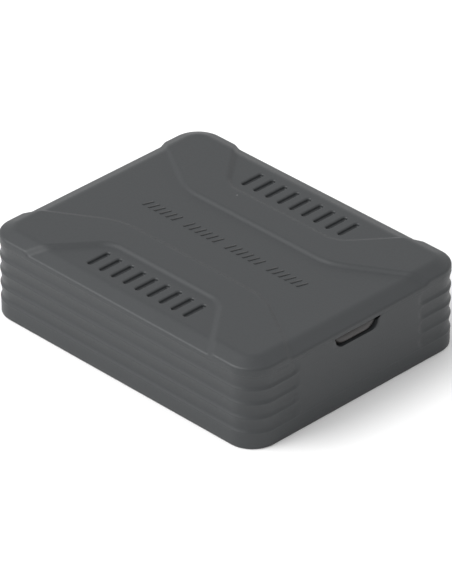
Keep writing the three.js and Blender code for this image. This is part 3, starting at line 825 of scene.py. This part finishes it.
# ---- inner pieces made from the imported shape, with worked edges -----------------------------------
def refined(name, soften, segments=2, sharp=40):
    """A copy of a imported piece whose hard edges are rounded."""
    source = NODES[name]
    bm = bmesh.new()
    bm.from_mesh(source.data)
    bmesh.ops.scale(bm, vec=(1 / MM,) * 3, verts=bm.verts)
    bmesh.ops.remove_doubles(bm, verts=bm.verts, dist=0.001)
    bmesh.ops.dissolve_limit(bm, angle_limit=math.radians(2), verts=bm.verts, edges=bm.edges)
    hard = [e for e in bm.edges if e.is_manifold and e.calc_face_angle(0) > math.radians(50)]
    bmesh.ops.bevel(bm, geom=hard, offset=soften, segments=segments, profile=0.5, affect="EDGES", material=-1,
                    clamp_overlap=True)
    slot = SLOT_OF[name]
    return piece(f"{name}_body", bm, FINISH[slot], BODY_OF[name], [name], sharp)


def smooth_lead(name):
    """A wire or cable made round from its packed tube."""
    bm = bmesh.new()
    bm.from_mesh(NODES[name].data)
    bmesh.ops.scale(bm, vec=(1 / MM,) * 3, verts=bm.verts)
    bmesh.ops.remove_doubles(bm, verts=bm.verts, dist=0.001)
    bmesh.ops.join_triangles(bm, faces=bm.faces, angle_face_threshold=0.6, angle_shape_threshold=3.1)
    slot = SLOT_OF[name]
    made = piece(f"{name}_jacket", bm, FINISH[slot], BODY_OF[name], [name], sharp=70)
    rounder = made.modifiers.new("round", "SUBSURF")
    rounder.levels = rounder.render_levels = 2
    return made


def turned(profile, steps):
    """A solid turned about Z from its (radius, height) outline."""
    bm = bmesh.new()
    verts = [bm.verts.new((radius, 0, z)) for radius, z in profile]
    edges = [bm.edges.new(pair) for pair in zip(verts, verts[1:])]
    bmesh.ops.spin(bm, geom=verts + edges, cent=(0, 0, 0), axis=(0, 0, 1), angle=math.tau,
                   steps=steps, use_merge=True)
    bmesh.ops.remove_doubles(bm, verts=bm.verts, dist=0.001)
    face_outward(bm)
    return bm


# ---- screws ------------------------------------------------------------------------------------------
THREAD_PITCH = 0.5
COVER_SCREW = (1.8, 1.4)
BOARD_SCREW = (1.5, 1.1)


def make_screw(name):
    """Pan-head screw with a driver socket and a turned thread, head up or head down as packed."""
    low, high, centre = node_box(name)
    head_r = (high.x - low.x) / 2
    head_down = name.startswith("cover_screw")
    head, shank_r = COVER_SCREW if head_down else BOARD_SCREW
    length = high.z - low.z - head
    socket = [(0, head * 0.4), (head_r * 0.34, head * 0.42), (head_r * 0.4, head * 0.96)]
    dome = [(head_r * 0.45, head * 0.97), (head_r * 0.8, head * 0.78), (head_r * 0.97, head * 0.45),
            (head_r, head * 0.15)]
    profile = socket + dome + [(head_r, 0.0), (shank_r, 0.0)]
    turns = int((length - 1.2) / THREAD_PITCH)
    for k in range(turns):
        z = -0.3 - k * THREAD_PITCH
        profile += [(shank_r * 0.78, z), (shank_r, z - THREAD_PITCH * 0.5)]
    profile += [(shank_r * 0.75, -0.3 - turns * THREAD_PITCH), (shank_r * 0.35, -length + 0.1), (0, -length)]
    bm = turned(profile, 32)
    if head_down:
        bmesh.ops.rotate(bm, verts=bm.verts, matrix=Matrix.Rotation(math.pi, 3, "X"))
    seat = low.z + head if head_down else high.z - head
    bmesh.ops.translate(bm, verts=bm.verts, vec=(centre.x, centre.y, seat))
    return piece(f"{name}_steel", bm, FINISH["screw_steel"], BODY_OF[name], [name], sharp=30)


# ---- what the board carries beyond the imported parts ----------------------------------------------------
def make_pads_and_prints():
    """Plated rings, solder fillets, printed outlines and test points on the board."""
    low, high, _ = node_box("main_board")
    top = high.z
    metal = bmesh.new()
    for sx, sy in ((1, 1), (-1, 1), (-1, -1), (1, -1)):
        ring = bmesh.ops.create_circle(metal, cap_ends=False, radius=1.5, segments=32)["verts"]
        rim = list({e for v in ring for e in v.link_edges})
        outer = bmesh.ops.extrude_edge_only(metal, edges=rim)["geom"]
        grown = [g for g in outer if isinstance(g, bmesh.types.BMVert)]
        bmesh.ops.scale(metal, verts=grown, vec=(2.5 / 1.5, 2.5 / 1.5, 1))
        bmesh.ops.translate(metal, verts=ring + grown, vec=(sx * STANDOFF.x, sy * STANDOFF.y, top + 0.02))
    for k in range(10):
        add_rod(metal, -2 + 1.9 * k, -26.5, top - 0.01, top + 0.05, 0.55, sides=20)
    for name in ("power_inductor_1", "power_inductor_2", "tantalum_capacitor", "input_fuse", "surge_diode",
                 "status_led_1", "status_led_2", "status_led_3", "crystal"):
        low, high, centre = node_box(name)
        long_x = high.x - low.x >= high.y - low.y
        reach = (high - low).x / 2 if long_x else (high - low).y / 2
        wide = ((high - low).y if long_x else (high - low).x) * 0.7
        for side in (-1, 1):
            size = (0.9, wide, 0.22) if long_x else (wide, 0.9, 0.22)
            shift = side * (reach + 0.1)
            x = centre.x + (shift if long_x else 0)
            y = centre.y + (0 if long_x else shift)
            add_block(metal, x, y, top - 0.02, size, soften=0.09)
    face_outward(metal)
    piece("board_pads", metal, SOLDER, "base")

    ink = bmesh.new()
    for name in ("gnss_patch", "gnss_receiver", "microcontroller", "flash_chip", "power_inductor_1",
                 "tantalum_capacitor", "sim_socket", "harness_header", "tamper_switch", "battery_switch"):
        low, high, centre = node_box(name)
        half = (high - low) / 2 + Vector((0.55, 0.55, 0))
        for side in (-1, 1):
            add_block(ink, centre.x, centre.y + side * half.y, top, (2 * half.x, 0.15, 0.02))
            add_block(ink, centre.x + side * half.x, centre.y, top, (0.15, 2 * half.y, 0.02))
    return piece("board_outlines", ink, SILK, "base")


def leg(bm, x, y, direction, width, foot_z, shoulder_z, reach):
    """One gull-wing leg that leaves a chip's side at shoulder height and lands on the board."""
    out = Vector(direction)
    across = Vector((-out.y, out.x)) * width / 2
    run = [(0.0, shoulder_z), (reach * 0.3, shoulder_z), (reach * 0.55, foot_z + 0.08),
           (reach, foot_z + 0.08)]
    thick = 0.12
    previous = None
    for far, z in run:
        ring = [bm.verts.new((*(Vector((x, y)) + out * far + side * across), z + lift))
                for side, lift in ((-1, 0), (1, 0), (1, thick), (-1, thick))]
        if previous:
            for k in range(4):
                bm.faces.new((previous[k], previous[(k + 1) % 4], ring[(k + 1) % 4], ring[k]))
        else:
            bm.faces.new(ring)
        previous = ring
    bm.faces.new(previous)


def make_chip_legs():
    bm = bmesh.new()
    board_top = node_box("main_board")[1].z
    for name, per_side, sides in (("microcontroller", 12, 4), ("flash_chip", 4, 2), ("surge_diode", 1, 2)):
        low, high, centre = node_box(name)
        half = (high - low) / 2
        pitch = 1.27 if sides == 2 else 0.65
        for quarter in range(0, 4, 4 // sides):
            first = Vector((0, -1)) if name == "flash_chip" else Vector((1, 0))
            out = Matrix.Rotation(quarter * math.pi / 2, 2) @ first
            edge = abs(out.x) * half.x + abs(out.y) * half.y
            for k in range(per_side):
                along = (k - (per_side - 1) / 2) * pitch
                spot = centre.xy + out * (edge - 0.15) + Vector((-out.y, out.x)) * along
                width = 1.4 if per_side == 1 else pitch * 0.42
                leg(bm, spot.x, spot.y, out, width, board_top, low.z + half.z * 0.9, 1.15)
    face_outward(bm)
    return piece("chip_legs", bm, SOLDER, "base")


# x and y of the first, how many, their pitch, and 1 where the row runs along Y
SMALL_PART_ROWS = (
    (-8.5, -10, 5, 1.9, 0), (-8.5, -13.2, 5, 1.9, 0), (10.5, 2.2, 6, 1.7, 0), (25, -13, 4, 1.8, 1),
    (12.5, -12.2, 6, 1.7, 0), (-12.2, -29.4, 3, 3.5, 0), (9, -25.3, 4, 1.8, 1), (26.2, 8.6, 5, 1.8, 0),
    (-33, -6.6, 8, 2.0, 0), (26.5, 16.0, 4, 1.8, 1), (-34.5, 26.0, 7, 2.0, 0), (20.2, -12.6, 3, 1.7, 0),
)


def make_small_parts():
    """Chip resistors and capacitors around the circuits, with tinned ends."""
    top = node_box("main_board")[1].z + 0.04
    bodies, ends = bmesh.new(), bmesh.new()
    for x0, y0, count, pitch, along_y in SMALL_PART_ROWS:
        for k in range(count):
            x, y = (x0, y0 + k * pitch) if along_y else (x0 + k * pitch, y0)
            long_y = not along_y
            size = (0.8, 1.0, 0.5) if long_y else (1.0, 0.8, 0.5)
            add_block(bodies, x, y, top, size, soften=0.04, segments=1)
            for side in (-1, 1):
                cap = (0.84, 0.34, 0.54) if long_y else (0.34, 0.84, 0.54)
                dx, dy = (0, side * 0.63) if long_y else (side * 0.63, 0)
                add_block(ends, x + dx, y + dy, top - 0.02, cap, soften=0.05, segments=1)
    piece("small_part_bodies", bodies, moulded("small_part", (0.16, 0.11, 0.075), 0.45), "base")
    return piece("small_part_ends", ends, SOLDER, "base")


def make_can(name):
    """Aluminium electrolytic can: black foot and a rolled-in waist."""
    low, high, centre = node_box(name)
    foot = bmesh.new()
    add_block(foot, centre.x, centre.y, low.z, (6.3, 6.3, 0.8), soften=0.2)
    piece(f"{name}_foot", foot, FINISH["connector_black"], "base")
    r, base = 3.0, low.z + 0.7
    tall = high.z - base
    profile = [(0, 0), (r * 0.9, 0), (r, 0.15), (r, 0.7), (r * 0.93, 0.95), (r * 0.93, 1.05), (r, 1.3),
               (r, tall - 0.25), (r * 0.93, tall - 0.02), (r * 0.8, tall), (0, tall)]
    bm = turned(profile, 48)
    bmesh.ops.translate(bm, verts=bm.verts, vec=(centre.x, centre.y, base))
    return piece(f"{name}_can", bm, FINISH["capacitor_can"], "base", [name], sharp=30)


def make_patch_detail():
    """Feed pin with its solder dome on the patch, and the patch's notched silver face."""
    low, high, centre = node_box("gnss_patch_face")
    bm = bmesh.new()
    add_rod(bm, centre.x + 1.6, centre.y - 1.9, high.z - 0.02, high.z + 0.45, 1.0, sides=32,
            top_radius=0.35, soften=0.08)
    piece("patch_feed", bm, SOLDER, "base")
    face = bmesh.new()
    bmesh.ops.create_grid(face, x_segments=1, y_segments=1, size=1)
    half = (high - low) / 2
    bmesh.ops.scale(face, verts=face.verts, vec=(half.x, half.y, 1))
    bmesh.ops.bevel(face, geom=face.verts[:], offset=1.4, segments=1, profile=0.5, affect="VERTICES",
                    material=-1)
    rim = bmesh.ops.extrude_face_region(face, geom=face.faces[:])["geom"]
    bmesh.ops.translate(face, verts=[g for g in rim if isinstance(g, bmesh.types.BMVert)],
                        vec=(0, 0, high.z - low.z))
    bmesh.ops.translate(face, verts=face.verts, vec=(centre.x, centre.y, low.z))
    face_outward(face)
    return piece("patch_face_silver", face, FINISH["patch_silver"], "base",
                 ["gnss_patch_face"])


def make_shield_detail():
    """Dark discs laid on the shields as painted shade where their vent holes are, in place of real holes, and
    the folded clips round the modem's and the receiver's shields.
    """
    holes, clips = bmesh.new(), bmesh.new()
    for name, columns, rows in (("modem_shield", 7, 8), ("gnss_receiver", 4, 3)):
        low, high, centre = node_box(name)
        for i in range(columns):
            for j in range(rows):
                x = centre.x + (i - (columns - 1) / 2) * 2.4
                y = centre.y + (j - (rows - 1) / 2) * 2.4
                # painted shade: a thin dark disc on the shield's top stands for the shaded inside of each
                # vent hole
                add_rod(holes, x, y, high.z - 0.03, high.z + 0.015, 0.42, sides=16)
        half = (high - low) / 2
        for side in (-1, 1):
            for k in range(4):
                along = (k - 1.5) * half.y * 0.5
                add_block(clips, centre.x + side * (half.x + 0.06), centre.y + along, low.z + 0.05,
                          (0.16, 1.6, (high.z - low.z) * 0.55), soften=0.05)
    # the discs wear the chips' dark epoxy finish as painted shade
    piece("shield_hole_painted_shade", holes, FINISH["chip_epoxy"], "base")
    return piece("shield_clips", clips, FINISH["shield_tin"], "base")


def make_card_contacts():
    _, high, centre = node_box("sim_card")
    bm = bmesh.new()
    for i in range(2):
        for j in range(3):
            x = centre.x - 1.6 + 3.2 * i
            y = centre.y - 2.6 + 2.6 * j
            add_block(bm, x, y, high.z - 0.01, (2.7, 2.2, 0.04), soften=0.015)
    return piece("card_contacts", bm, FINISH["contact_gold"], "sim_drawer")


def make_pouch():
    """The pack's soft pouch: crowned faces, rounded long sides and a folded sealing strip at the lead end."""
    low, high, centre = node_box("backup_battery")
    size = high - low
    bm = bmesh.new()
    spread = Matrix.Diagonal((size.x, size.y, size.z * 0.9, 1))
    bmesh.ops.create_cube(bm, size=1, matrix=Matrix.Translation(centre) @ spread)
    bmesh.ops.bevel(bm, geom=bm.edges[:], offset=1.6, segments=5, profile=0.5, affect="EDGES", material=-1)
    long_edges = [e for e in bm.edges if e.calc_length() > 8]
    bmesh.ops.subdivide_edges(bm, edges=long_edges, cuts=14, use_grid_fill=True)
    for vert in bm.verts:
        u, v = (vert.co.x - centre.x) / (size.x / 2), (vert.co.y - centre.y) / (size.y / 2)
        crown = max(0.0, (1 - u * u) * (1 - v * v))
        vert.co.z += math.copysign(size.z * 0.05 * crown, vert.co.z - centre.z)
    piece("battery_pouch", bm, FINISH["pack_wrap"], "base", ["backup_battery"], sharp=60)
    strip = bmesh.new()
    add_block(strip, centre.x, high.y - 0.55, centre.z - 0.6, (size.x - 6, 0.9, 1.2), soften=0.2)
    return piece("battery_seal_strip", strip, FINISH["antenna_film"], "base")


def make_foam():
    low, high, centre = node_box("battery_pad")
    size = high - low
    bm = bmesh.new()
    bmesh.ops.create_cube(bm, size=1, matrix=Matrix.Translation(centre) @ Matrix.Diagonal((*size, 1)))
    bmesh.ops.bevel(bm, geom=bm.edges[:], offset=0.25, segments=3, profile=0.5, affect="EDGES", material=-1)
    long_edges = [e for e in bm.edges if e.calc_length() > 8]
    bmesh.ops.subdivide_edges(bm, edges=long_edges, cuts=9, use_grid_fill=True)
    made = piece("foam_pad", bm, FINISH["foam_tape"], "base", ["battery_pad"], sharp=70)
    return made


# ---- build -----------------------------------------------------------------------------------------
CASING = casing_plastic()
make_base(CASING)
make_cover(CASING)
make_ticks(tick_painted_shade())
make_slot_plug(FINISH["plug_rubber"])

for index in range(1, 5):
    make_screw(f"cover_screw_{index}")
    make_screw(f"board_screw_{index}")
for name in ("input_capacitor_1", "input_capacitor_2"):
    make_can(name)
for name in ("battery_lead_red", "battery_lead_black", "antenna_coax"):
    smooth_lead(name)
EDGE_SOFTENING = dict(
    harness_header=0.12, battery_socket=0.12, battery_plug=0.08, sim_tray=0.1, sim_socket=0.07,
    switch_slider=0.12, tamper_plunger=0.2, main_board=0.06, modem_board=0.05, harness_pins=0.06,
    sim_card=0.05,
)
for name, soften in EDGE_SOFTENING.items():
    refined(name, soften)
make_patch_detail()
make_shield_detail()
make_card_contacts()
make_pads_and_prints()
make_chip_legs()
make_small_parts()
make_pouch()
make_foam()

for name, obj in NODES.items():
    if not obj.hide_render:
        obj.data.materials.clear()
        obj.data.materials.append(FINISH[SLOT_OF[name]])


# ---- floor and light ---------------------------------------------------------------------------------
def make_floor():
    bm = bmesh.new()
    bmesh.ops.create_grid(bm, x_segments=1, y_segments=1, size=3)
    mesh = bpy.data.meshes.new("floor")
    bm.to_mesh(mesh)
    bm.free()
    floor = bpy.data.objects.new("floor", mesh)
    floor.location.z = CAD_BOX[0][2] - 0.00005
    material, _, shader = new_material("floor_paper", Roughness=0.9)
    shader.inputs["Base Color"].default_value = (0.93, 0.93, 0.93, 1)
    mesh.materials.append(material)
    scene.collection.objects.link(floor)


def soft_light(name, azimuth, elevation, distance, size, power, colour=(1, 1, 1)):
    """A square softbox that faces the object from an azimuth (0 is -Y, 90 is +X) and an elevation."""
    a, e = math.radians(azimuth), math.radians(elevation)
    back = Vector((math.sin(a) * math.cos(e), -math.cos(a) * math.cos(e), math.sin(e)))
    data = bpy.data.lights.new(name, "AREA")
    data.shape = "SQUARE"
    data.size = size
    data.energy = power
    data.color = colour
    lamp = bpy.data.objects.new(name, data)
    turn = back.to_track_quat("Z", "Y").to_matrix().to_4x4()
    lamp.matrix_world = Matrix.Translation(back * distance) @ turn
    scene.collection.objects.link(lamp)


def make_light():
    world = bpy.data.worlds.new("studio")
    scene.world = world
    world.use_nodes = True
    world.node_tree.nodes["Background"].inputs["Color"].default_value = (1, 1, 1, 1)
    world.node_tree.nodes["Background"].inputs["Strength"].default_value = 0.9
    soft_light("key", -30, 45, 1.2, 0.8, 12)
    scene.view_settings.view_transform = "Standard"


make_floor()
make_light()
